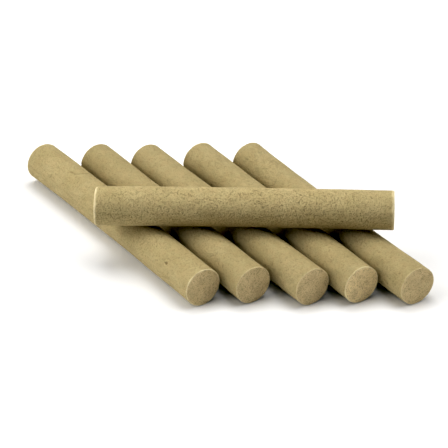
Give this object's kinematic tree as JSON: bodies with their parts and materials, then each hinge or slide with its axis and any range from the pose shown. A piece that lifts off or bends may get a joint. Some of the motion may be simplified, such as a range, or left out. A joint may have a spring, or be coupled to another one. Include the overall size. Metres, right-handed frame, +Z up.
{
  "type": "sanding stick set",
  "caption": "Round foam sanding sticks: a staggered row lying flat with another laid across the top, each a solid rod with square cut ends.",
  "frame": {"origin": "on the table, in the middle of the set's bounding box", "axes": "+X to the right along the stick that lies across the top, +Y to the back, +Z up"},
  "size_m": [0.1277, 0.0819, 0.0241],
  "materials": {
    "foam": "matte"
  },
  "bodies": {
    "row_stick_3": {"row_stick_3": "foam"},
    "row_stick_1": {"row_stick_1": "foam"},
    "row_stick_2": {"row_stick_2": "foam"},
    "row_stick_4": {"row_stick_4": "foam"},
    "row_stick_5": {"row_stick_5": "foam"},
    "cross_stick": {"cross_stick": "foam"}
  },
  "joints": [
    {"name": "draw_out_stick_1", "type": "slide", "parent": "row_stick_3", "child": "row_stick_1", "axis": [-0.6101, 0.7923, 0], "range_m": [0, 0.105]},
    {"name": "draw_out_stick_2", "type": "slide", "parent": "row_stick_3", "child": "row_stick_2", "axis": [-0.599, 0.8007, 0], "range_m": [0, 0.105]},
    {"name": "draw_out_stick_4", "type": "slide", "parent": "row_stick_3", "child": "row_stick_4", "axis": [0.5906, -0.807, 0], "range_m": [0, 0.105]},
    {"name": "draw_out_stick_5", "type": "slide", "parent": "row_stick_3", "child": "row_stick_5", "axis": [0.5906, -0.807, 0], "range_m": [0, 0.105]},
    {"name": "lift_off_cross_stick", "type": "slide", "parent": "row_stick_3", "child": "cross_stick", "axis": [0, 0, 1], "range_m": [0, 0.05]}
  ]
}
